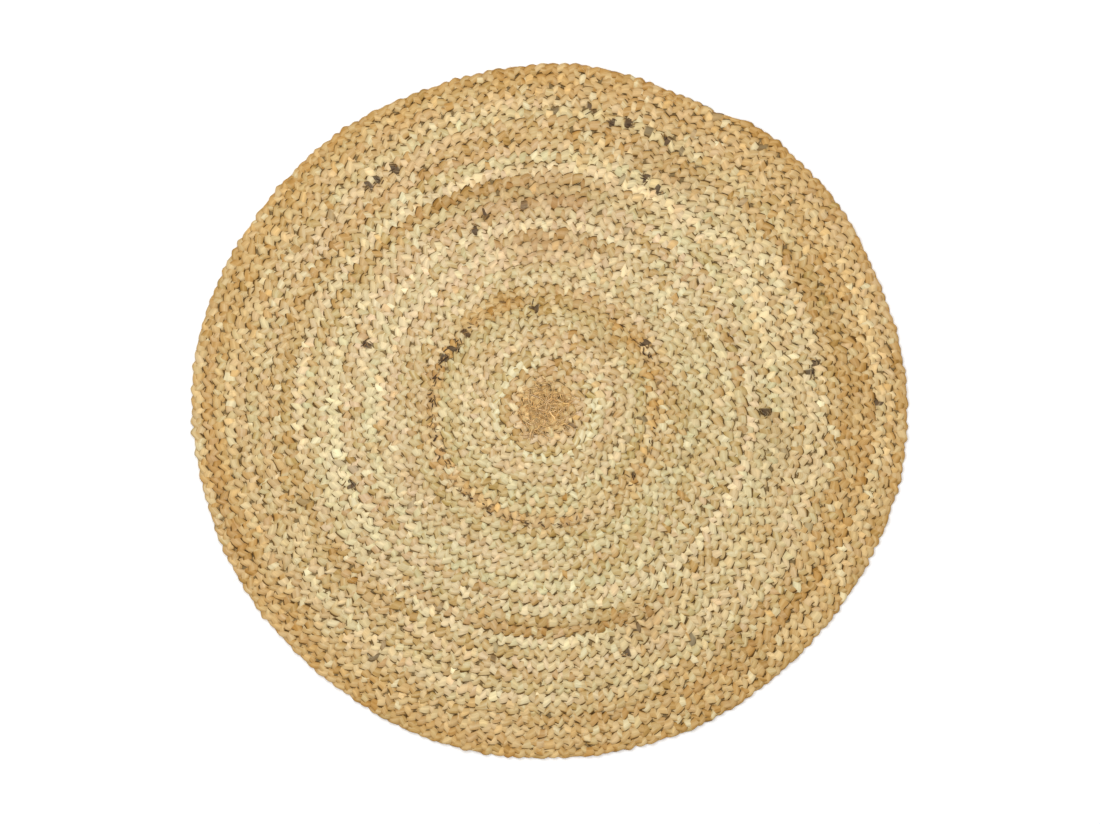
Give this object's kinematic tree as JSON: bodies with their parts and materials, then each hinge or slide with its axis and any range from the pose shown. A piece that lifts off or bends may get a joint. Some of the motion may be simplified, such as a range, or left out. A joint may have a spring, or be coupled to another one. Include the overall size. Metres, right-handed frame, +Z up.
{
  "type": "round jute rug",
  "caption": "Flat round rug of one three-strand jute plait wound into a coil and sewn edge to edge; slightly oval, with the plait's end tapered into the rim.",
  "frame": {"origin": "middle of the outline's box, on the underside where the rug rests on the floor", "axes": "+Z up out of the walked-on face, +X along the rug's widest diameter, +Y across it"},
  "size_m": [1.2, 1.1648, 0.009],
  "materials": {
    "jute": "coarse matt jute plait, straw with golden and brown streaks"
  },
  "bodies": {
    "root": {"plait_coil": "jute"}
  },
  "joints": []
}
